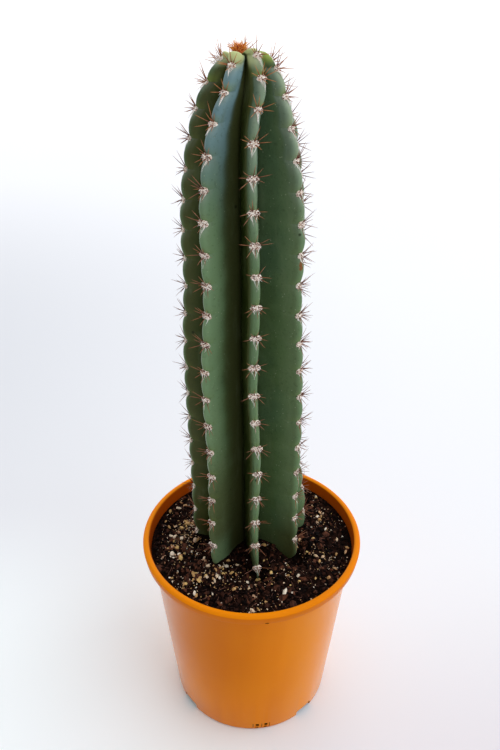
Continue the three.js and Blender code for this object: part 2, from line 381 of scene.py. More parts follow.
far_wall = add_light("far_wall", "AREA", 170, (1.0, 1.0, 1.0), (0.3, 7.4, 1.8), (0.3, 3.0, 0))
side_window = add_light("side_window", "AREA", 3.5, (0.98, 0.98, 1.0), (1.7, 0.9, 1.2), (0.5, 0.5, 0))
for light, size in ((far_wall, (8.0, 1.4)), (side_window, (1.2, 1.2))):
    light.shape = "RECTANGLE"
    light.size, light.size_y = size
window = add_light("window", "SUN", 0.97, (0.97, 0.99, 1.02), (0.88, -0.36, 0.95), (0, 0, 0))
window.angle = math.radians(60)

sky = Finish("studio", bpy.data.worlds, "Background", Color=(0.97, 0.98, 1.0, 1))
bpy.context.scene.world = sky.owner
inputs = {0: sky.node("ShaderNodeTexCoord", output="Generated"), 1: GLOW_FROM}
height = sky.node("ShaderNodeVectorMath", {"operation": "DOT_PRODUCT"}, inputs, "Value")
inputs = {"Value": height, "From Min": -0.3, "To Min": DIMMEST, "To Max": BRIGHTEST}
sky.set(Strength=sky.node("ShaderNodeMapRange", None, inputs))
bpy.context.scene.view_settings.view_transform = "Standard"
print("a window, a far wall and a pale world")

# %% [markdown]
# ## The pot
#
# The real pot is one moulding of thin orange plastic: a tapered wall, a step, and a thicker rim with
# a skirt. It could be made by spinning an outline. Here the outline is walked with extrude and scale
# from a disc under the floor, up the outside, over the rim and down the inside, which gives one
# closed shell. A bevel rounds its edges as a mould does.

# %% Pot outline
POT_HEIGHT = 188
SKIRT_EDGE = 178.3
RIM_RADIUS = 100
BASE_RADIUS = 75.8
WALL_TOP_RADIUS = 92.2
WALL = 1.5


def wall_radius(height):
    return BASE_RADIUS + (WALL_TOP_RADIUS - BASE_RADIUS) * height / SKIRT_EDGE


pot_outline = [
    (53, 4.5), (57, 0), (74.5, 0), (BASE_RADIUS, 1.4), (wall_radius(60), 60), (wall_radius(120), 120),
    (wall_radius(172), 172), (94.9, 176), (95.6, 185), (97.9, 185), (97.3, SKIRT_EDGE),
    (98.9, SKIRT_EDGE), (RIM_RADIUS, 185.6), (98.2, 187.8), (95.6, POT_HEIGHT), (94.2, 187),
    (93.4, 175.5), (wall_radius(171) - WALL, 171), (wall_radius(90) - WALL, 90), (74.3, 4),
    (72.6, 2.5), (57.7, 2.5), (53.7, 7),
]
pot = turn_piece("nursery_pot", pot_outline, 192)
use_modifier(pot, "BEVEL", width=0.55 * MM, segments=3,
             limit_method="ANGLE", angle_limit=math.radians(18))
report(pot)

# %% [markdown]
# Water leaves through four notches in the bottom edge, six holes in the floor and a small window of
# four slots at the front, with three fine lines beside them. The moulding gate left a pit under the
# rim, and two nicks mark the rim at the left. They could be knife cuts, but a boolean keeps the edges
# clean: each cutter is a block or a drum that is placed where the opening is and taken away.

# %% Pot openings
NOTCH_AZIMUTHS = (-52.5, 43.3, 127.5, 223.3)
NOTCH_WIDTH = 19
NOTCH_TOP = 7
SLOT_AZIMUTHS = (4.3, 10.6)
LINE_AZIMUTHS = (1.6, 8.0, 13.6)
DRAIN_COUNT = 6
DRAIN_CIRCLE = 36
DRAIN_RADIUS = 5
GATE_AZIMUTH = 7.4
GATE_LEVEL = 179.0
# Azimuth, width, lowest, highest, and distance from the axis of the gate's pit and the two nicks.
PITS = (
    (GATE_AZIMUTH, 2.6, GATE_LEVEL - 0.5, GATE_LEVEL + 0.5, 99.4),
    (-106, 0.8, 186.5, 188.7, 99.6), (-138.2, 0.9, 187.3, 189.1, 99.2),
)


def add_block(azimuth, width, low, high, depth, radius=BASE_RADIUS):
    """A block between two heights, square to the pot's wall, this far from the axis."""
    clear_selection()
    place = around(azimuth, radius, (low + high) / 2) * MM
    turn = (0, 0, math.radians(azimuth))
    bpy.ops.mesh.primitive_cube_add(size=1, location=place, rotation=turn)
    bpy.ops.transform.resize(value=(width * MM, depth * MM, (high - low) * MM), orient_type="LOCAL")
    return named("cutter")


cutters = []
for azimuth in NOTCH_AZIMUTHS:
    notch = add_block(azimuth, NOTCH_WIDTH, -3, NOTCH_TOP, 24)
    use_modifier(notch, "BEVEL", width=1.4 * MM, segments=3)
    cutters.append(notch)
for azimuth in SLOT_AZIMUTHS:
    cutters.append(add_block(azimuth, 2.9, 1.2, 4.2, 8))
    cutters.append(add_block(azimuth + 0.4, 3.0, 5.4, 9.0, 8))
for azimuth in LINE_AZIMUTHS:
    cutters.append(add_block(azimuth, 0.6, 1.0, 9.4, 2.4))
for hole in range(DRAIN_COUNT):
    clear_selection()
    place = around(hole * 360 / DRAIN_COUNT, DRAIN_CIRCLE, 5) * MM
    bpy.ops.mesh.primitive_cylinder_add(
        vertices=32, radius=DRAIN_RADIUS * MM, depth=20 * MM, location=place)
    cutters.append(named("cutter"))
for azimuth, width, low, high, radius in PITS:
    cutters.append(add_block(azimuth, width, low, high, 3.0, radius))
print(len(cutters), "openings")
work_on(cutters[0])
for cutter in cutters:
    cutter.select_set(True)
bpy.ops.object.join()
use_modifier(pot, "BOOLEAN", operation="DIFFERENCE", solver="EXACT", object=cutters[0])
bpy.data.objects.remove(cutters[0], do_unlink=True)
smooth_below(pot, 30)

# %% [markdown]
# The plastic is satin: smooth enough for a broad soft reflection at its edges, with faint vertical
# flow marks from the mould and a slight scuffing, mostly near the foot. Colour and roughness each
# take a share of a noise that is stretched along the wall. Painted shade makes the orange a little
# duller towards the left, darker on the skirt and a deep orange inside, and darkens the slots and the
# gate's pit. Painted light makes it warmer towards the right and bright on the rim.

# %% Plastic colours
plastic = Finish("orange_plastic", IOR=1.5, Specular_IOR_Level=0.04, Coat_Roughness=0.22, Coat_IOR=1.5)
flow = plastic.noise(22, 2, (1, 1, 0.12))
cloud = plastic.noise(45, 3)
grain = plastic.noise(0.9, 2)
scuff = plastic.noise(3.2, 5, (1, 1, 0.5), 0.7).step(0.58, 0.72)
level = plastic.along("Z")
across = plastic.along("X")
from_axis = plastic.away_from((0, 0, 0), (1, 1, 0))
near_foot = level.fade(0.0, 0.03)
# Painted shade on the left side and painted light on the right side of the pot.
shaded_left_side = across.fade(-0.03, 0.035) * level.step(0.02, 0.12)
lit_right_side = across.step(0.01, 0.055)
on_skirt = from_axis.step(0.0945, 0.0955) * level.step(0.1755, 0.1775)
rim_painted_light = on_skirt * level.step(0.1848, 0.1862)
inside = from_axis.fade(0.0942, 0.0948) * level.step(0.1735, 0.1745)
slot_painted_shade = from_axis.fade(0.0756, 0.0759) * level.step(0.0014, 0.0018)
slot_painted_shade = slot_painted_shade * level.fade(0.0092, 0.0096)
gate_spot = around(GATE_AZIMUTH, 98.9, GATE_LEVEL) * MM
gate_painted_shade = plastic.away_from(gate_spot, (1, 1, 1.8)).fade(0.0014, 0.0020)
plastic.colour = plastic.mix(flow.step(0.3, 0.7), (0.80, 0.212, 0.002), (0.85, 0.240, 0.003))
plastic.tint(cloud.step(0.35, 0.75) * 0.35, (0.87, 0.270, 0.004))
plastic.tint(scuff * (0.10 + 0.25 * near_foot), (0.80, 0.42, 0.14))
plastic.tint(shaded_left_side * 0.6, (0.62, 0.155, 0.002))
plastic.tint(lit_right_side * 0.8, (0.90, 0.285, 0.002))
# Painted shade on the skirt, then painted light on the top of the rim.
plastic.tint(on_skirt * 0.85, (0.71, 0.178, 0.002))
plastic.tint(rim_painted_light * (0.9 - 0.45 * lit_right_side), (0.96, 0.275, 0.003))
# Painted shade inside the pot, a deeper, redder orange.
plastic.tint(inside * 0.9, (0.54, 0.075, 0.002))
# Painted shade in the slots of the window and in the gate's pit.
plastic.tint(slot_painted_shade * 0.9, (0.020, 0.005, 0.003))
plastic.tint(gate_painted_shade * 0.95, (0.035, 0.008, 0.002))
print("the plastic has", len(plastic.tree.nodes), "nodes")

# %% Pot gloss
plastic.set(Roughness=0.36 + 0.08 * flow + 0.05 * grain + 0.16 * scuff)
plastic.set(Normal=plastic.bump(grain * 0.5 + flow * 0.5, 0.05))
gloss = plastic.edge_on(0.46, 0.92) * (0.94 - 0.80 * on_skirt) * (1 - 0.18 * lit_right_side)
plastic.set(Coat_Weight=gloss)
dress(pot, plastic, "pot")

# %% [markdown]
# ## The stem
#
# The stem has seven ribs. Each rib is a row of rounded segments, and in the notch between two of them
# sits an areole, the woolly cushion that carries the spines. No operator follows seven such rows at
# once, so a grid is added as a primitive and its vertices are placed by a few formulas: how far
# the areoles have come down from the tip, how far the notches stand from the axis, and how much a
# segment swells between two notches. The frame's stem follows the same formulas, only more coarsely.

# %% How the ribs run
STEM_BOTTOM = 130
STEM_TOP = 600
# One number for each rib, from the front one round towards +X.
RIB_AZIMUTHS = (9.2, 61.4, 112.9, 164.3, 215.7, 267.1, 321.2)
RIB_PHASES = (0.02, 0.78, 0.7, 0.25, 0.85, 0.36, 0.53)
RIB_PITCHES = (1.011, 1.002, 1, 1.006, 0.995, 0.99, 1.002)
RIB_TWISTS = (17, 5, 14, 16, 18, 20, 13)
RIB_FOOT_TURNS = (0, 0, -7, 0, 0, 0, 0)
RIB_FOOT_REACH = (0, -1.0, 4.4, 0, 0, 0, 0)
RIB_FOOT_LEVELS = (172, 165, 172, 172, 172, 172, 169)
RIB_HALF_WIDTHS = (2.6, 3.5, 3.5, 3.5, 3.5, 3.5, 3.5)
RIB_TUCKS = (0.6, 0, 0, 0, 0, 4.5, 0)
RIB_WAVES = (1.8, 0.4, 3.3, 4.4, 5.2, 6.2, 2)
RIB_COUNT = len(RIB_AZIMUTHS)
CROWN = np.array([-10.0, 1.6])
AREOLE_STEP = 20.7
STEP_GROWTH = 0.17
TIP_CROWDING = 17.2
NOTCH_RADIUS = 47.6
DOME_DEPTH = 0.707
WAIST_DEPTH = 0.045
WAIST_LEVEL = 440
TWIST_LEVEL = 573


def areole_drop(count):
    """How far under the tip an areole sits. The youngest ones are crowded."""
    crowding = TIP_CROWDING * (1 - np.exp(-count / 1.43))
    return AREOLE_STEP * count + STEP_GROWTH * count ** 2 - crowding


def stem_axis(z):
    """Where the middle of the stem lies at a height, because it leans and bends a little."""
    rise = (z - STEM_BOTTOM) / (STEM_TOP - STEM_BOTTOM)
    return -2 - 4 * np.sin(0.62 * np.pi * rise), 6.4 - 2.6 * rise


def beside_axis(z, azimuth, out, sideways=0):
    """Points this far out from the stem's axis, and this far to the side of that direction."""
    x, y = stem_axis(z)
    turn = np.radians(azimuth)
    x = x + out * np.sin(turn) + sideways * np.cos(turn)
    y = y - out * np.cos(turn) + sideways * np.sin(turn)
    return np.stack([x, y, z], -1)


def notch_radius(z):
    """How far the notches stand from the axis, less in the dome at the tip and at a slight waist."""
    dome = 1 - DOME_DEPTH * np.exp(-0.0196 * (STEM_TOP + 4 - z))
    waist = 1 - WAIST_DEPTH * np.exp(-(((z - WAIST_LEVEL) / 32) ** 2))
    return NOTCH_RADIUS * dome * waist


def crest_radius(rib, z):
    foot_reach = RIB_FOOT_REACH[rib] * (1 - smooth_step(200, 290, z))
    return notch_radius(z) - RIB_TUCKS[rib] * np.exp(-(STEM_TOP - z) / 7) + foot_reach


def rib_azimuth(rib, z):
    twist = RIB_TWISTS[rib] / (1 + np.exp((TWIST_LEVEL - z) / 5.8))
    wander = 1.5 * np.sin(z / 24 + RIB_WAVES[rib])
    foot_turn = RIB_FOOT_TURNS[rib] * (1 - smooth_step(190, 270, z))
    return RIB_AZIMUTHS[rib] + twist + wander + foot_turn


def rib_height(rib, count):
    drop = RIB_PITCHES[rib] * areole_drop(count + RIB_PHASES[rib])
    return np.maximum(STEM_BOTTOM, STEM_TOP - drop)


def segment_swell(count, z, power):
    along = count - np.floor(count)
    return np.abs(np.sin(np.pi * along)) ** power * smooth_step(162, 176, z)


print("first areoles at", [round(rib_height(rib, 0)) for rib in range(RIB_COUNT)], "mm")

# %% [markdown]
# Across a rib the section runs from the bottom of one valley over the crest to the bottom of the
# next: a nearly flat flank, a rounded shoulder, the crest, and the same again. The points are
# closer together on the crest, because that is where the eye is drawn. Each point is a pair: how far
# up the flank it lies, from 0 to 1, and its angle on the crest, from 90 on the shoulder to 0 on top.

# %% Points across a rib
FLANK_SHARES = (0.0, 0.1, 0.23, 0.4, 0.57, 0.73, 0.87, 0.96)
CREST_ANGLES = (90, 72, 55, 38, 19)
SHOULDER = math.radians(90)
CREST_DEPTH = 5.2
SEGMENT_SWELL = 3.2
FOOT_SHRINK = 5.5
VALLEY_RADIUS = 12.5
half = [(share, SHOULDER) for share in FLANK_SHARES]
half += [(1.0, math.radians(angle)) for angle in CREST_ANGLES]
COLUMNS = RIB_COUNT * 2 * len(half)


def shoulder_point(rib, side, angle, z, swell):
    """Points on the crest of a rib, one for each height."""
    rise = smooth_step(STEM_TOP - 60, STEM_TOP, z)
    foot = FOOT_SHRINK * np.exp(-np.maximum(z - RIB_FOOT_LEVELS[rib], 0) / 5) * (z > 150)
    pull, pinch = (0, 0.5) if rib == 0 else (1, 0.22)  # the front rib's foot only gets narrower
    radius = crest_radius(rib, z) + SEGMENT_SWELL * swell * (1 - 0.4 * rise) - pull * foot
    wide = RIB_HALF_WIDTHS[rib] + (0.4 + 0.8 * rise) * swell - pinch * foot
    wide = wide - 0.7 * (1 - smooth_step(178, 230, z))
    out = radius - CREST_DEPTH * (1 - math.cos(angle))
    return beside_axis(z, rib_azimuth(rib, z), out, wide * math.sin(angle) * side)


def valley_point(rib, side, count):
    """The bottom of the valley beside a rib, halfway to its neighbour."""
    neighbour = (rib + side) % RIB_COUNT
    full_turn = 360 * ((rib + side) // RIB_COUNT)
    heights = [rib_height(each, count) for each in (rib, neighbour)]
    turns = [rib_azimuth(each, z) for each, z in zip((rib, neighbour), heights)]
    z = (heights[0] + heights[1]) / 2
    deep = np.minimum(VALLEY_RADIUS, 0.46 * notch_radius(z))
    return beside_axis(z, (turns[0] + turns[1] + full_turn) / 2, deep)


def section_point(rib, side, spot, count):
    """Points of a column of the stem, one for each count. Side is -1 left or 1 right of the crest."""
    share, angle = spot
    z = rib_height(rib, count)
    crisp = shoulder_point(rib, side, angle, z, segment_swell(count, z, 0.7))
    soft = shoulder_point(rib, side, SHOULDER, z, segment_swell(count, z, 2.0) * 0.8)
    shoulder = soft + (crisp - soft) * share ** 12
    valley = valley_point(rib, side, count)
    point = valley + (shoulder - valley) * share
    turn = np.radians(rib_azimuth(rib, z))
    belly = (0.9 + 0.5 * smooth_step(560, 596, z)) * math.sin(math.pi * share ** 2.4) * side
    point[:, 0] += belly * np.cos(turn)
    point[:, 1] += belly * np.sin(turn)
    return point


print("the section has", COLUMNS, "points")

# %% [markdown]
# Above its first areole each rib ends in a young knuckle, a fat rounded half segment that arches over
# to the edge of the pit in the middle. A part from 0 to 1 runs along that arch. The crest's line is a
# chord with a bulge on it, the grooves between the knuckles stay low, and the flanks join the two.

# %% Knuckles at the tip
KNUCKLES = (4.8, 6.6, 3.4, 1.8, 4.4, 3.8, 6.0)
PIT_RADIUS = 4.4
PIT_LEVEL = 597.2


def crest_place(rib, count):
    """Where the crest of a rib is at a count of areoles from the tip."""
    z = rib_height(rib, count)
    return beside_axis(z, rib_azimuth(rib, z), crest_radius(rib, z))


def pit_direction(rib):
    away = crest_place(rib % RIB_COUNT, 0.0)[:2] - CROWN
    return away / np.linalg.norm(away)


def half_gap(rib, side):
    """Half the angle at the pit between a knuckle and the next one on a side."""
    return math.acos(pit_direction(rib) @ pit_direction(rib + side)) / 2


def on_pit_edge(direction, radius):
    return np.array([*(CROWN + direction * radius), PIT_LEVEL])


def knuckle_point(rib, side, spot, part):
    """A point on the knuckle of a rib: part 0 is at its first areole and part 1 at the pit."""
    share, angle = spot
    outward = pit_direction(rib)
    ahead = np.array([*outward, 0])
    sideways = np.array([-outward[1], outward[0], 0]) * side
    arch = math.sin(math.pi * part) ** 0.75
    rise = KNUCKLES[rib] * arch
    first = shoulder_point(rib, side, angle, crest_place(rib, 0.0)[2:], 0)[0]
    half_width = 0.8 * PIT_RADIUS * half_gap(rib, side)
    last = on_pit_edge(outward, PIT_RADIUS) + sideways * half_width * math.sin(angle)
    point = first + (last - first) * part + ahead * 0.3 * rise
    point[2] += rise * (0.6 + 0.4 * math.cos(angle))
    point += sideways * 2.0 * arch * math.sin(angle)
    between = outward + pit_direction(rib + side)
    low = valley_point(rib, side, np.array([0.0]))[0]
    low += (on_pit_edge(between / np.linalg.norm(between), 0.94 * PIT_RADIUS) - low) * part ** 1.6
    point = low + (point - low) * share
    point += sideways * (1.2 * (1 - part) + 0.4 * arch) * math.sin(math.pi * share ** 1.9)
    point[2] += 0.4 * arch * math.sin(math.pi * share)
    return point


print("knuckles start at", [round(crest_place(rib, 0.0)[2]) for rib in range(RIB_COUNT)], "mm")

# %% Points along a rib
SEGMENT_PARTS = (0.0, 0.035, 0.09, 0.17, 0.26, 0.36, 0.46, 0.56, 0.66, 0.76, 0.85, 0.92, 0.97)
KNUCKLE_PARTS = (1.0, 0.96, 0.91, 0.85, 0.78, 0.7, 0.62, 0.54, 0.46, 0.38, 0.3, 0.22, 0.15, 0.09, 0.04)
SEGMENTS = 19
LAST_COUNT = 18.5
# The rows of a rib, counted in areoles from the tip.
counts = [each + part for each in range(SEGMENTS) for part in SEGMENT_PARTS]
counts = np.array([count for count in counts if count <= LAST_COUNT] + [19.0, 20.5])
ROWS = 1 + len(KNUCKLE_PARTS) + len(counts)


def column_points(rib, side, spot):
    """One column from the tip down: the floor of the pit, the knuckle, then the rows of the rib."""
    knuckle = [knuckle_point(rib, side, spot, part) for part in KNUCKLE_PARTS]
    floor_of_pit = knuckle[0].copy()
    floor_of_pit[:2] = CROWN + (knuckle[0][:2] - CROWN) * 0.6
    floor_of_pit[2] = PIT_LEVEL - 0.6
    return np.vstack([floor_of_pit, knuckle, section_point(rib, side, spot, counts)])


print("the stem has", ROWS, "rows")

# %% [markdown]
# The finish needs to know what no noise can tell it, so each vertex keeps five numbers: how near the
# crest it is, where it lies in its segment, how old that segment is, how much pale wax, the bloom,
# lies on it, and its painted shade, how much shade is painted on that flank, with painted light where
# it is below 0. The wax differs from side to side on the real ribs and is laid thickest where a sheen
# lies, so it is partly painted sheen; the painted shade follows how the light falls on each flank.

# %% Marks for the skin
# Wax bloom and painted sheen of each rib on the left flank (-1), the crest (0) and the right flank
# (1).
FLANK_WAX_SHEEN = {
    -1: (0.0, 0.2, 0.3, 0.4, 0.3, 0.4, 0.3),
    0: (0.46, 0.55, 0.5, 0.5, 0.5, 0.2, 0.9),
    1: (0.5, 0.4, 0.3, 0.4, 0.3, 0.0, 1.0),
}
# Painted shade of a flank in five steps from the valley to the shoulder. Below 0 it is painted light,
# paler than usual.
DEEP_FLANK_PAINTED_SHADE = (1, 0.75, 0.35, 0.05, 0)
FLANK_PAINTED_SHADE = {
    (6, -1): (1, 1, 0.8, 0.3, -0.5), (6, 1): (1, 0.90, 0.72, 0.04, 0),
    (0, -1): (1.5, 1.5, 1.5, 1.45, 0.3), (0, 1): (0.8, 0.4, 0.1, 0, -1.0),
    (1, -1): (-0.3, -0.35, -0.15, 0.25, 0.45), (5, 1): (1.4, 1.4, 1.4, 1.35, 1.0),
}
# More painted shade low down on three flanks, near the soil.
FOOT_PAINTED_SHADE = {(6, 1): 0.7, (6, -1): 0.3}
SOLE_PAINTED_SHADE = {(1, -1): 0.5}
young_along = [0.6] + [0.4 + 0.53 * math.sin(math.pi * (1 - part) ** 1.3) for part in KNUCKLE_PARTS]
along_rib = np.concatenate([young_along, counts - np.floor(counts)])


def column_marks(rib, side, spot, heights):
    share, angle = spot
    age = (STEM_TOP - heights) / (STEM_TOP - STEM_BOTTOM)
    at_crest = smooth_step(0.8, 1.0, share)
    wax_sheen = np.full(ROWS, FLANK_WAX_SHEEN[side][rib] * (1 - at_crest) + FLANK_WAX_SHEEN[0][rib] * at_crest)
    wax_sheen[:len(KNUCKLE_PARTS) + 1] *= 0.6 if share < 1 else 0.15
    profile = FLANK_PAINTED_SHADE.get((rib, side), DEEP_FLANK_PAINTED_SHADE)
    painted_shade = np.interp(share, (0, 0.25, 0.5, 0.75, 1), profile) * math.sin(angle) ** 2
    painted_shade = np.minimum(painted_shade, 1.1 + 0.4 * smooth_step(0.03, 0.14, age))
    low_down = smooth_step(0.5, 0.75, age) * (1 - smooth_step(0.81, 0.89, age))
    painted_shade = np.maximum(painted_shade, FOOT_PAINTED_SHADE.get((rib, side), 0) * low_down)
    painted_shade = painted_shade + SOLE_PAINTED_SHADE.get((rib, side), 0) * smooth_step(0.76, 0.92, age)
    crestness = share * (1 - 0.2 * math.sin(angle))
    return {"crestness": crestness, "along": along_rib, "age": age, "wax_sheen": wax_sheen, "painted_shade": painted_shade}


print("five marks for each of", COLUMNS * ROWS, "points")

# %% [markdown]
# The grid is one square metre at first. The x and y of a vertex say which column and row it belongs
# to, so it can be moved to its place on the stem. The seam is then merged and both ends are filled.

# %% Stem mesh
clear_selection()
bpy.ops.mesh.primitive_grid_add(x_subdivisions=COLUMNS, y_subdivisions=ROWS - 1, size=1)
stem = named("ribbed_stem")
grid = np.array([v.co for v in stem.data.vertices])
column_of = np.rint((grid[:, 0] + 0.5) * COLUMNS).astype(int) % COLUMNS
row_of = np.rint((0.5 - grid[:, 1]) * (ROWS - 1)).astype(int)

left_half = [(-1, spot) for spot in half]
right_half = [(1, spot) for spot in [(1.0, 0.0)] + half[:0:-1]]
places = np.empty((COLUMNS, ROWS, 3))
marks = {name: np.empty((COLUMNS, ROWS)) for name in ("crestness", "along", "age", "wax_sheen", "painted_shade")}
columns = [(rib, side, spot) for rib in range(RIB_COUNT) for side, spot in left_half + right_half]
for column, (rib, side, spot) in enumerate(columns):
    places[column] = column_points(rib, side, spot)
    for name, values in column_marks(rib, side, spot, places[column][:, 2]).items():
        marks[name][column] = values
stem.data.vertices.foreach_set("co", (places[column_of, row_of] * MM).ravel())
for name, values in marks.items():
    layer = stem.data.attributes.new(name, "FLOAT", "POINT")
    layer.data.foreach_set("value", values[column_of, row_of])
edit_all(stem)
bpy.ops.mesh.remove_doubles(threshold=1e-6)
bpy.ops.mesh.select_all(action="DESELECT")
bpy.ops.mesh.select_non_manifold(extend=False, use_boundary=True)
bpy.ops.mesh.edge_face_add()
bpy.ops.mesh.select_all(action="SELECT")
bpy.ops.mesh.normals_make_consistent(inside=False)
bpy.ops.object.mode_set(mode="OBJECT")
smooth_below(stem, 60)
report(stem)

# %% [markdown]
# The skin is matt wax over green flesh. It is bluish and powdery near the tip and a duller olive lower
# down. Painted shade darkens the valleys and the flanks turned from the light, painted light makes the
# crests that catch it pale, and the bluish wax is laid thickest where a sheen lies, so it is partly
# painted sheen. Above every areole the segment's chin is a fresh yellow green. Streaks, pale specks, a
# few dark blots and one brown scar make it a grown thing. A painted image would also do, but sums of
# the five marks and of noise stay sharp at any distance. Each tint is laid over the ones before.

# %% Skin colours
SCAR_SPOT = Vector((34.2, -18.9, 461.4)) * MM
SPECKS_PER_METRE = 330.0
BLOTS_PER_METRE = 46.0
skin = Finish("cactus_skin", Specular_IOR_Level=0.08, Coat_Roughness=0.3, Coat_IOR=1.5)
crest = skin.attribute("crestness")
in_segment = skin.attribute("along")
aged = skin.attribute("age")
wax_sheen_mask = skin.attribute("wax_sheen")
painted_flank_shade = skin.attribute("painted_shade")
mottle = skin.noise(16, 4)
patchy = skin.noise(38, 3)
fine = skin.noise(2.4, 3)
streaks = skin.noise(9, 4, (1, 1, 0.3), 0.6)
skin.colour = skin.mix(mottle.step(0.3, 0.7), (0.084, 0.140, 0.052), (0.108, 0.172, 0.068))
skin.tint(patchy.step(0.4, 0.7) * 0.5, (0.070, 0.132, 0.074))
skin.tint(aged.fade(0.15, 0.45) * 0.3, (0.070, 0.125, 0.090))
# Bluish wax bloom, laid thickest where a sheen lies, so it is partly painted sheen.
bluish_wax_sheen = wax_sheen_mask.step(0.2, 1.0) * crest.step(0.22, 0.62) * aged.fade(0.07, 0.27)
skin.tint(bluish_wax_sheen * (0.6 + 0.4 * patchy), (0.20, 0.335, 0.375))
lit = crest.step(0.38, 0.80) * aged.step(0.08, 0.26) * (0.2 + 0.8 * wax_sheen_mask)
skin.tint(lit, (0.185, 0.300, 0.150))
pale_young = aged.fade(0.05, 0.30) * crest.step(0.70, 0.97) * wax_sheen_mask.step(0.35, 0.55)
skin.tint(pale_young * wax_sheen_mask.fade(0.7, 0.85) * 0.95, (0.33, 0.42, 0.27))
# Painted shade on the flanks, deeper where it passes 1, and painted light where it is below 0.
skin.tint(painted_flank_shade.step(0.0, 1.0), (0.076, 0.087, 0.027))
skin.tint((painted_flank_shade - 1) * 2, (0.022, 0.039, 0.003))
skin.tint(0 - painted_flank_shade, (0.32, 0.43, 0.29))
skin.tint(streaks.step(0.52, 0.75) * 0.22, (0.19, 0.24, 0.13))
skin.tint(fine.step(0.55, 0.75) * 0.25, (0.030, 0.046, 0.018))
# Painted shade in the bottom of every valley.
valley_painted_shade = crest.fade(0.0, 0.16)
skin.tint(valley_painted_shade * 0.5, (0.016, 0.018, 0.006))
chin = crest.step(0.70, 1.0) * in_segment.step(0.6, 0.97)
skin.tint(chin * (0.28 + 0.67 * aged.fade(0.0, 0.12)), (0.23, 0.31, 0.045))
fresh = crest.step(0.55, 0.9) * in_segment.step(0.42, 0.9) * aged.fade(0.0, 0.05)
skin.tint(fresh * 0.42, (0.36, 0.46, 0.075))
left_of_tip = skin.along("X").fade(-0.001, 0.007)
tender = crest.step(0.45, 0.8) * aged.fade(0.004, 0.020) * left_of_tip
skin.tint(tender * (0.68 + 0.2 * streaks), (0.68, 0.74, 0.36))
powder = crest.step(0.74, 0.95) * in_segment.fade(0.08, 0.55) * aged.fade(0.12, 0.5)
skin.tint(powder * (0.25 + 0.35 * streaks), (0.42, 0.48, 0.40))
speck = skin.cells(SPECKS_PER_METRE).fade(0.08, 0.17)
speck = speck * skin.noise(9).step(0.44, 0.6) * painted_flank_shade.fade(0.2, 1.0)
skin.tint(speck * 0.7, (0.38, 0.45, 0.28))
skin.tint(skin.cells(BLOTS_PER_METRE).fade(0.035, 0.075) * 0.8, (0.020, 0.026, 0.010))
ragged = skin.away_from(SCAR_SPOT, (1, 1, 0.4)) + 0.0032 * skin.noise(1.6, 3)
skin.tint(ragged.fade(0.0026, 0.0034) * 0.85, (0.26, 0.070, 0.016))
print("the skin has", len(skin.tree.nodes), "nodes")

# %% Skin gloss
skin.set(Roughness=0.36 + 0.14 * mottle, Coat_Weight=skin.edge_on(0.5, 0.9) * 0.7)
skin.set(Normal=skin.bump(mottle * 0.6 + fine * 0.4, 0.35))
dress(stem, skin, "stem")

# %% [markdown]
# ## Copies by the hundred
#
# Spines, hairs and soil crumbs repeat hundreds of times. Each kind is modelled once. Duplicating it
# with an operator a thousand times would take minutes, so a Heap gathers the placed copies and writes
# them as one mesh, and keeps two numbers on every point: a shade for the copy and how far along it
# the point lies.

# %% Heaps of copies
class Heap:
    """Placed copies of small patterns, gathered into one mesh."""

    def __init__(self):
        self.points, self.faces, self.shades, self.reaches = [], [], [], []
        self.size = 0

    def add(self, pattern, points, shade):
        """One copy: the pattern's faces on new points in mm, with a shade from 0 to 1."""
        self.points.append(points)
        self.faces.append(pattern["faces"] + self.size)
        self.shades.append(np.full(len(points), shade))
        self.reaches.append(pattern["reach"])
        self.size += len(points)

    def build(self, name, crease=50):
        mesh = bpy.data.meshes.new(name)
        points = np.concatenate(self.points) * MM
        mesh.from_pydata(points.tolist(), [], np.concatenate(self.faces).tolist())
        for layer, values in (("shade", self.shades), ("reach", self.reaches)):
            made = mesh.attributes.new(layer, "FLOAT", "POINT")
            made.data.foreach_set("value", np.concatenate(values))
        piece = bpy.data.objects.new(name, mesh)
        bpy.context.scene.collection.objects.link(piece)
        smooth_below(piece, crease)
        print(len(self.faces), "copies make", name)
        return piece


def pattern_of(piece):
    """Takes a modelled piece off the scene: its points in mm, its triangles and their reach."""
    edit_all(piece)
    bpy.ops.mesh.quads_convert_to_tris()
    bpy.ops.object.mode_set(mode="OBJECT")
    points = np.array([v.co for v in piece.data.vertices]) / MM
    faces = np.array([list(face.vertices) for face in piece.data.polygons])
    reach = (points[:, 2] - points[:, 2].min()) / np.ptp(points[:, 2])
    bpy.data.objects.remove(piece, do_unlink=True)
    return {"points": points, "faces": faces, "reach": reach}


def rough_ball(name, subdivisions, roughness, seed):
    """A pattern of a ball of 1 mm radius whose points are pushed about at random."""
    clear_selection()
    bpy.ops.mesh.primitive_ico_sphere_add(subdivisions=subdivisions, radius=1 * MM)
    ball = named(name)
    edit_all(ball)
    bpy.ops.transform.vertex_random(offset=roughness * MM, seed=seed)
    bpy.ops.object.mode_set(mode="OBJECT")
    return pattern_of(ball)


def strand(pattern, root, direction, length, thick, sag):
    """Points of a thin upright pattern, 1 mm tall, laid along a direction and bent by a sag."""
    turn = np.array(direction.to_track_quat("Z", "Y").to_matrix())
    base = pattern["points"] * np.array([thick, thick, length])
    reach = pattern["reach"][:, None]
    return base @ turn.T + np.array(root) + np.array(sag) * reach ** 2


chance = random.Random(5)
draw = chance.uniform  # a random number between two others
print("ready to heap copies")

# %% [markdown]
# ## Areoles
#
# Each areole gets its own frame of three directions: sideways round the stem, up along the crest, and
# out. Cushion, hairs and spines of the areole are all placed in that frame. Its size is kept with it,
# because the cushions near the tip are young and small. Only areoles over the soil are kept.

# %% Where the areoles sit
LOWEST_AREOLE = 182


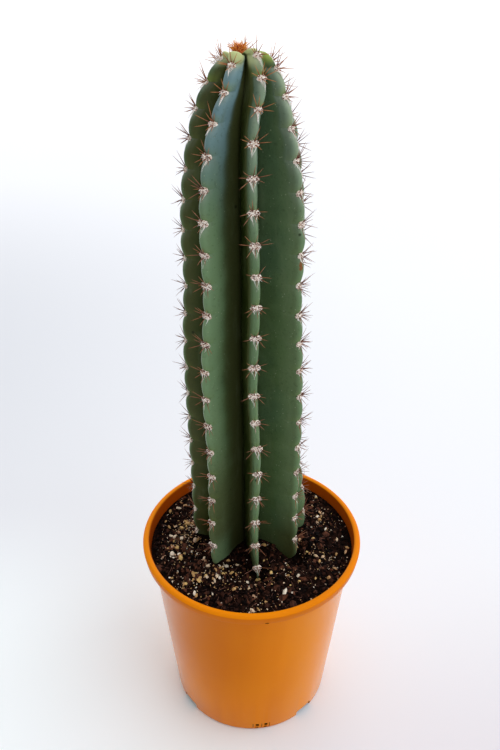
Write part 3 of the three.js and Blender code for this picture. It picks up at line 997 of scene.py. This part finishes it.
def areole_frame(rib, count):
    place = Vector(crest_place(rib, count))
    above = Vector(crest_place(rib, max(count - 1, -0.9 * RIB_PHASES[rib])))
    turn = math.radians(rib_azimuth(rib, place.z))
    side = Vector((math.cos(turn), math.sin(turn), 0))
    up = (above - place).normalized()
    out = side.cross(up).normalized()
    return place, side, up, out, 0.72 + 0.28 * smooth_step(0, 90, STEM_TOP - place.z)


areoles = [areole_frame(rib, count) for rib in range(RIB_COUNT) for count in range(SEGMENTS)
           if rib_height(rib, count) > LOWEST_AREOLE]
print(len(areoles), "areoles")

# %% [markdown]
# The body of an areole is a felted cushion, about 8 mm wide and 5 mm high, that sits in the notch
# with its face to the outside. Sculpting each one would be true to life, but they differ so little
# that one rough ball, squashed by the frame's three directions, does for all of them.

# %% Cushions
CUSHION_HALF_WIDTH = 4.2
CUSHION_HALF_HEIGHT = 2.6
CUSHION_DEPTH = 1.8
lump = rough_ball("lump", 3, 0.16, 3)


def cushion_points(place, side, up, out, size):
    wide = CUSHION_HALF_WIDTH * size * draw(0.88, 1.1)
    high = CUSHION_HALF_HEIGHT * size * draw(0.85, 1.12)
    axes = np.array([side * wide, up * high, out * CUSHION_DEPTH])
    return lump["points"] @ axes + np.array(place + out * 0.5 - up * 0.3)


cushions = Heap()
for areole in areoles:
    cushions.add(lump, cushion_points(*areole), chance.random())
cushions = cushions.build("areole_cushions")

# %% [markdown]
# The felt of a cushion is a tangle of short hairs, and below it long white hairs hang down on the
# skin in a narrowing streak. Particle hair would do for a picture, but it isn't kept as a mesh, so
# one hair is turned as a thin three-sided cone and copied, each copy bent a little on its own.

# %% Hairs
HAIR_OUTLINE = ((1.0, 0.0), (0.9, 0.3), (0.65, 0.62), (0.12, 1.0))
FELT_HAIRS = 16
FELT_THICKNESS = 0.13
HANGING_HAIRS = 8
HANGING_THICKNESS = 0.17
hair = pattern_of(turn_piece("hair", HAIR_OUTLINE, 3))


def in_frame(side, up, out, across, along, proud):
    return side * across + up * along + out * proud


def felt_hair(place, side, up, out, size):
    turn = draw(0, 2 * math.pi)
    far = math.sqrt(chance.random())
    across, along = 3.7 * size * far * math.cos(turn), 2.4 * size * far * math.sin(turn)
    proud = 0.6 + 1.5 * math.sqrt(max(0, 1 - far * far))
    root = place + in_frame(side, up, out, across, along - 0.3, proud)
    lean = in_frame(side, up, out, across * 0.2 + draw(-0.7, 0.7),
                    draw(-1.2, 0.4), draw(0.1, 0.8)).normalized()
    sag = in_frame(side, up, out, draw(-0.6, 0.6), -draw(0.2, 0.9), -0.5)
    return strand(hair, root, lean, draw(1.2, 2.4), FELT_THICKNESS, sag)


def hanging_hair(place, side, up, out, size):
    across = draw(-2.8, 2.8) * size
    root = place + in_frame(side, up, out, across, -2.0 * size, 0.9)
    proud = 0.34 + draw(-0.1, 0.15)
    lean = in_frame(side, up, out, -across * 0.16, -1, proud).normalized()
    sag = in_frame(side, up, out, draw(-0.6, 0.6), 0, -draw(0.3, 0.9))
    length = draw(3.6, 8.6) * (1.5 - 0.5 * size)
    return strand(hair, root, lean, length, HANGING_THICKNESS, sag)


hairs = Heap()
for areole in areoles:
    for make, number in ((felt_hair, FELT_HAIRS), (hanging_hair, HANGING_HAIRS)):
        for _ in range(number):
            hairs.add(hair, make(*areole), chance.random())
hairs = hairs.build("areole_hairs")

# %% [markdown]
# Each areole carries about nine spines in a loose star: one long one up, pairs to both sides, short
# ones down, and one or two that stand out. A spine has a swollen foot and tapers to a sharp tip, so
# its outline is drawn once with five sides. Every copy gets its own length, lean and slight bend.

# %% Spines
SPINE_OUTLINE = (
    (1.5, 0.0), (1.25, 0.05), (0.95, 0.12), (0.8, 0.35), (0.6, 0.62), (0.34, 0.86), (0.06, 1.0),
)
# Angle in the star, lean from the middle and length of each spine.
STAR = (
    (92, 50, 14.5), (48, 53, 13), (134, 52, 13), (8, 58, 12.5), (173, 58, 12.5), (-34, 54, 11.5),
    (-146, 54, 11.5), (-92, 48, 9), (70, 16, 11.5), (-60, 24, 8.5),
)
SPINE_THICKNESS = 0.32
SHARE_MISSING = 0.14
LOWEST_TIP = 183.5
spine = pattern_of(turn_piece("spine", SPINE_OUTLINE, 5))
spines = Heap()
for place, side, up, out, _ in areoles:
    youth = smooth_step(520, 598, place.z)
    for angle, lean, length in STAR:
        angle = math.radians(angle + draw(-15, 15))
        lean = math.radians((lean + draw(-10, 10)) * (1 - 0.15 * youth))
        length = length * draw(0.66, 1.06) * (1 - 0.12 * youth)
        kept = chance.random() > SHARE_MISSING
        star = side * math.cos(angle) + up * math.sin(angle)
        direction = (out * math.cos(lean) + star * math.sin(lean)).normalized()
        root = place + out * 1.2 + (side * math.cos(angle) * 1.7 + up * math.sin(angle) * 1.1)
        drop = root.z + direction.z * length - LOWEST_TIP
        if drop < 0 and direction.z < 0:
            length = max(3, length + drop / -direction.z)
        sag = Vector([draw(-0.5, 0.5) for _ in range(3)])
        if kept:
            points = strand(spine, root, direction, length, SPINE_THICKNESS, sag)
            spines.add(spine, points, 0.75 * youth + 0.25 * chance.random())
spines = spines.build("spines")

# %% [markdown]
# Wool and felt scatter light inside themselves, which a plain surface doesn't do. A faint glow of
# their own colour, painted light that brightens them, stands in for it and is cheaper than true
# scattering. The felt is blotched with brown. A spine is horn: dark at its foot, lighter along its
# length, with a dark tip, and the young ones are more orange. Its shade and its reach, the two numbers
# of the heap, say where that is.

# %% Wool and spine finishes
felt = Finish("areole_felt", Roughness=0.95, Emission_Strength=0.09)
tangle = felt.noise(0.9, 4)
felt.colour = felt.mix(tangle.step(0.35, 0.6), (0.52, 0.30, 0.19), (1.0, 0.95, 0.86))
felt.tint(felt.noise(1.4, 2).step(0.57, 0.62) * 0.95, (0.10, 0.022, 0.008))
felt.set(Emission_Color=felt.colour, Normal=felt.bump(tangle, 0.5))
dress(cushions, felt, "stem")

wool = Finish("areole_wool", Roughness=0.85, Emission_Strength=0.07)
wool.colour = wool.mix(wool.attribute("shade"), (0.90, 0.80, 0.68), (1.0, 0.99, 0.97))
wool.set(Emission_Color=wool.colour)
dress(hairs, wool, "stem")

horn = Finish("horny_spine")
reach = horn.attribute("reach")
old_horn = horn.mix(reach.step(0.1, 0.9), (0.115, 0.020, 0.007), (0.37, 0.130, 0.062))
new_horn = horn.mix(reach.step(0.0, 0.8), (0.23, 0.038, 0.006), (0.66, 0.25, 0.050))
horn.colour = horn.mix(horn.attribute("shade"), old_horn, new_horn)
horn.tint(reach.step(0.75, 1.0) * 0.6, (0.09, 0.016, 0.008))
horn.set(Roughness=0.40 + 0.15 * horn.noise(2))
dress(spines, horn, "stem")

# %% [markdown]
# ## The tuft at the tip
#
# The newest areoles at the growing point carry a dense tuft of bright orange spines, which hides the
# pit between the ribs. It is made like the other spines, but the copies stand close together on a
# small dome and fan out from it. Each one is turned by the golden angle from the one before, as
# seeds are in a flower head, so they never line up. Some are paler and some darker than the rest.

# %% Crown tuft
TUFT_SPINES = 140
GOLDEN_ANGLE = math.radians(137.5)
TUFT_THICKNESS = 0.27
BOSS_SIZE = np.array([4.3, 4.3, 2.4])
boss = rough_ball("boss", 3, 0.1, 8)
boss["reach"] = boss["reach"] * 0
boss_place = np.array([*CROWN, STEM_TOP + 0.2])
tuft = Heap()
tuft.add(boss, boss["points"] * BOSS_SIZE + boss_place, 0.3)
for each in range(TUFT_SPINES):
    turn = each * GOLDEN_ANGLE
    far = math.sqrt((each + 0.5) / TUFT_SPINES)
    flat = Vector((math.cos(turn), math.sin(turn), 0))
    root = Vector(boss_place) + flat * (3.7 * far) + Vector((0, 0, 1.9 * math.sqrt(1 - far * far)))
    lean = flat * (1.9 * far ** 2 + draw(-0.3, 0.3))
    wobble = Vector((draw(-0.6, 0.6), draw(-0.6, 0.6), 0))
    direction = (Vector((0, 0, 1)) + lean + wobble).normalized()
    sag = Vector((draw(-1.7, 1.7), draw(-1.7, 1.7), draw(-1.2, 0.2)))
    length = draw(2.6, 6.6) + (2.5 if each % 12 == 0 else 0)
    tuft.add(spine, strand(spine, root, direction, length, TUFT_THICKNESS, sag), chance.random())
tuft = tuft.build("crown_tuft_spines")

orange_horn = Finish("young_spine", Roughness=0.5)
reach = orange_horn.attribute("reach")
shade = orange_horn.attribute("shade")
orange_horn.colour = orange_horn.mix(reach.step(0.0, 0.6), (0.62, 0.115, 0.007), (1.0, 0.41, 0.045))
orange_horn.tint(shade.step(0.72, 0.9) * 0.7, (0.90, 0.62, 0.36))
orange_horn.tint(shade.fade(0.1, 0.3) * 0.7, (0.32, 0.045, 0.006))
dress(tuft, orange_horn, "crown_tuft")

# %% [markdown]
# ## The potting mix
#
# The mix is a near-black, crumbly peat with pale pumice, cream and yellow grains, bark chips and
# fibres. Its body is turned like the pot, with many close rings on top, and displaced by three sizes
# of clouds. It is mounded round the stem and has sunk in front of two ribs.

# %% Soil body
SOIL_GAP = 0.45
TOP_RADIUS = 91.6
RING_STEP = 1.15
# Size and strength of each cloud.
CLOUDS = ((14, 3.0), (4.5, 3.0), (1.7, 2.0))
# Middle, depth and spread of each hollow.
SUNKEN_SPOTS = ((4, -43.4, 11.5, 80), (37, -20.5, 14.5, 170))


def mound(radius):
    wide_rise = 3.4 * (1 - smooth_step(30, 88, radius))
    return 176.6 + wide_rise + 3.6 * (1 - smooth_step(16, 42, radius))


def dip_by_foot(x, y):
    """How much lower the mix lies at a place, because it has sunk in front of two ribs."""
    return sum(deep * math.exp(-((x - toe_x) ** 2 + (y - toe_y) ** 2) / spread)
               for toe_x, toe_y, deep, spread in SUNKEN_SPOTS)


def inside_rim(v, height):
    return v.co.z > height * MM and v.co.xy.length < (TOP_RADIUS + 0.2) * MM


soil_outline = [
    (54, 7.35), (58, 2.85), (72.4, 2.85), (73.8, 4.3), (wall_radius(90) - WALL - SOIL_GAP, 90),
    (wall_radius(171) - WALL - SOIL_GAP, 171), (92.9, 175.6), (92.8, 176.2),
]
soil_outline += [(radius, mound(radius)) for radius in np.arange(TOP_RADIUS, 2, -RING_STEP)]
soil = turn_piece("soil_bed", soil_outline, 264)
top = soil.vertex_groups.new(name="top")
top.add([v.index for v in soil.data.vertices if inside_rim(v, 176)], 1, "REPLACE")
for size, strength in CLOUDS:
    clouds = bpy.data.textures.new("clouds", "CLOUDS")
    clouds.noise_scale = size * MM
    clouds.noise_depth = 3
    use_modifier(soil, "DISPLACE", texture=clouds, direction="Z", vertex_group="top",
                 strength=strength * MM, mid_level=0.5, texture_coords="LOCAL")
for v in soil.data.vertices:
    if inside_rim(v, 172):
        v.co.z -= dip_by_foot(v.co.x / MM, v.co.y / MM) * MM
smooth_below(soil, 40)
report(soil)

# %% [markdown]
# Thousands of small bits are strewn on the bed. Letting them fall in a physics run would pile them
# up truly, but slowly. Here a ray is shot straight down at a random place, and each bit is put where
# it meets the bed. Places inside the stem are drawn again.

# %% Stones and crumbs to strew
SOIL_LEVEL = 176.0
SECTION_LEVEL = 180.0
CORE_RADIUS = 14
RIB_REACH = 49
RIB_HALF_WIDTH = 6
soil_points = [v.co / MM for v in soil.data.vertices]
soil_tree = BVHTree.FromPolygons(soil_points, [p.vertices for p in soil.data.polygons])


def soil_top(x, y):
    hit = soil_tree.ray_cast(Vector((x, y, 230)), Vector((0, 0, -1)))
    return hit[0].z if hit[0] else SOIL_LEVEL


def inside_stem(x, y):
    """Whether a place on the soil lies in one of the seven ribs or in the core."""
    axis_x, axis_y = stem_axis(SECTION_LEVEL)
    offset = Vector((x - axis_x, y - axis_y))
    if offset.length < CORE_RADIUS:
        return True
    if offset.length > RIB_REACH:
        return False
    azimuth = math.degrees(math.atan2(offset.x, -offset.y))
    turns = [rib_azimuth(rib, SECTION_LEVEL) for rib in range(RIB_COUNT)]
    nearest = min(abs((azimuth - turn + 180) % 360 - 180) for turn in turns)
    return offset.length * math.sin(math.radians(nearest)) < RIB_HALF_WIDTH


def strewing_place(reach):
    """A place on the soil that isn't inside the stem."""
    while True:
        spot = around(draw(0, 360), reach * math.sqrt(chance.random()))
        if not inside_stem(spot.x, spot.y):
            return spot.x, spot.y


def lay(heap, patterns, size, spot, lift, flatness):
    """Puts a random pattern on the soil at a spot: turned, stretched, tilted and a little lifted."""
    pattern = chance.choice(patterns)
    flat = draw(*flatness) if isinstance(flatness, tuple) else flatness
    turn = Vector([draw(-3.1, 3.1) for _ in range(3)])
    spin = np.array(Matrix.Rotation(turn.x, 3, "X") @ Matrix.Rotation(turn.z, 3, "Z"))
    tilt = Matrix.Rotation(draw(-0.6, 0.6), 3, "Y") @ Matrix.Rotation(turn.y, 3, "Z")
    long, broad = size * draw(0.95, 1.6), size * draw(0.6, 1.0)
    points = (pattern["points"] @ spin.T) * np.array([long, broad, size * flat])
    place = np.array([*spot, soil_top(*spot) + lift])
    heap.add(pattern, points @ np.array(tilt).T + place, chance.random())


stones = [rough_ball("stone", 2, 0.34, seed) for seed in (1, 2, 3, 4)]
grits = [rough_ball("grit", 1, 0.55, seed) for seed in (5, 6, 7, 8, 9)]
print("soil surface between", round(soil_top(-80, 0)), "and", round(soil_top(-40, 0)), "mm")

# %% Dark crumbs
CRUMBS = 6400
crumbs = Heap()
for _ in range(CRUMBS):
    size = 0.35 + 1.75 * chance.random() ** 3.2
    lay(crumbs, grits, size, strewing_place(91.4 - size), 0.25 * size, (0.45, 0.9))
crumbs = crumbs.build("soil_crumbs", 15)

# %% [markdown]
# Pale grains show best against the peat, so their places matter more. Real watering floats them
# together, and the photo shows more of them at the left. So patches are drawn first, some of them
# only at the left, and most grains then fall near a patch.

# %% Pale grains
PATCHES = 20
LEFT_PATCHES = 13
PATCH_SPREAD = 7
SHARE_ANYWHERE = 0.4
GRAINS = 430
FINE_GRAINS = 1100
patches = [strewing_place(84) for _ in range(PATCHES)]
for _ in range(LEFT_PATCHES):
    left_side = around(draw(-115, -20), draw(52, 84))
    patches.append((left_side.x, left_side.y))


def grain_place(reach):
    """Grains lie partly anywhere and partly close together in patches."""
    if chance.random() < SHARE_ANYWHERE:
        return strewing_place(reach)
    while True:
        patch = chance.choice(patches)
        x, y = patch[0] + chance.gauss(0, PATCH_SPREAD), patch[1] + chance.gauss(0, PATCH_SPREAD)
        if math.hypot(x, y) < reach and not inside_stem(x, y):
            return x, y


grains = Heap()
for _ in range(GRAINS):
    size = 0.6 + 1.8 * chance.random() ** 2.6
    lay(grains, stones + grits, size, grain_place(90.5 - size), 0.4 * size, (0.5, 0.9))
for _ in range(FINE_GRAINS):
    size = draw(0.25, 0.65)
    lay(grains, grits, size, grain_place(91), 0.5 * size + 0.2, 0.8)
grains = grains.build("pale_grains", 25)

# %% [markdown]
# Bark is the mix's coarse part: flat dark chips, of which the four largest have places of their own.
# Between them lie fibres of coir, which are the hair of the areoles once more, only longer.

# %% Bark chips and fibres
CHIPS = 170
BIG_CHIPS = ((-82, -36, 4.4), (26, -70, 3.6), (-20, -72, 3.4), (62, -8, 3.2))
FIBRES = 620
FIBRE_THICKNESS = 0.2
chips = Heap()
for each in range(CHIPS):
    size = 1.2 + 2.6 * chance.random() ** 2
    spot = strewing_place(88 - size)
    if each < len(BIG_CHIPS):
        *spot, size = BIG_CHIPS[each]
    lay(chips, stones, size, spot, 0.5, 0.3)
chips = chips.build("bark_chips", 25)

fibres = Heap()
for _ in range(FIBRES):
    spot = strewing_place(86)
    turn = draw(0, 2 * math.pi)
    direction = Vector((math.cos(turn), math.sin(turn), draw(-0.02, 0.35))).normalized()
    root = Vector((*spot, soil_top(*spot) + 0.6))
    sag = Vector((draw(-2, 2), draw(-2, 2), draw(-1.5, 0)))
    length = draw(3, 9)
    fibres.add(hair, strand(hair, root, direction, length, FIBRE_THICKNESS, sag), chance.random())
fibres = fibres.build("soil_fibres")

# %% [markdown]
# Moist peat is almost black and hardly shines, so its highlights are turned far down. The crumbs,
# chips and fibres take their tone from the shade of each copy, and the grains read that shade off a
# row of colours from cream over yellow to brown, because a real mix holds several kinds of stone.

# %% Soil finishes
peat = Finish("peat", Roughness=0.9, Specular_IOR_Level=0.05)
clods = peat.noise(5, 6, roughness=0.7)
peat.colour = peat.mix(clods.step(0.45, 0.65), (0.0034, 0.0013, 0.0009), (0.026, 0.0095, 0.0058))
peat.set(Normal=peat.bump(clods * 0.5 + peat.noise(0.9, 4) * 0.5, 1.2))
dress(soil, peat, "soil")

crumbly = Finish("peat_crumbs", Roughness=0.85, Specular_IOR_Level=0.08)
shade = crumbly.attribute("shade")
crumbly.colour = crumbly.mix(shade.step(0.35, 0.95), (0.0028, 0.0010, 0.0008), (0.034, 0.0115, 0.0066))
crumbly.tint(shade.step(0.91, 1.0) * 0.8, (0.15, 0.054, 0.030))
crumbly.set(Normal=crumbly.bump(crumbly.noise(0.7, 3), 0.4))
dress(crumbs, crumbly, "soil")

GRAIN_COLOURS = [
    (0.0, (0.92, 0.83, 0.68)), (0.22, (0.88, 0.68, 0.47)), (0.42, (0.58, 0.31, 0.12)),
    (0.62, (0.74, 0.49, 0.17)), (0.82, (0.33, 0.13, 0.05)), (1.0, (0.84, 0.64, 0.44)),
]
pumice = Finish("pumice", Roughness=0.8)
pitted = pumice.noise(0.8, 4)
pumice.colour = pumice.node("ShaderNodeValToRGB", None, {0: pumice.attribute("shade")})
ramp = pumice.colour.socket.node.color_ramp
while len(ramp.elements) < len(GRAIN_COLOURS):
    ramp.elements.new(0.5)
for element, (position, colour) in zip(ramp.elements, GRAIN_COLOURS):
    element.position = position
    element.color = (*colour, 1)
pumice.tint(pitted.step(0.5, 0.75) * 0.45, (0.20, 0.12, 0.07))
pumice.set(Normal=pumice.bump(pitted, 0.35))
dress(grains, pumice, "soil")

bark = Finish("bark", Roughness=0.8, Specular_IOR_Level=0.15)
layers = bark.noise(1.6, 4, (1, 0.3, 1))
bark.colour = bark.mix(layers.step(0.35, 0.65), (0.026, 0.0075, 0.004), (0.13, 0.040, 0.017))
bark.tint(bark.attribute("shade") * 0.6, (0.014, 0.005, 0.0035))
bark.set(Normal=bark.bump(layers, 0.5))
dress(chips, bark, "soil")

coir = Finish("coir", Roughness=0.8)
shade = coir.attribute("shade")
coir.colour = coir.mix(shade.step(0.3, 1.0), (0.030, 0.010, 0.006), (0.30, 0.13, 0.085))
dress(fibres, coir, "soil")

# %% The model's size
low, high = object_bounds()
print("size in mm:", [round((b - a) / MM, 1) for a, b in zip(low, high)])
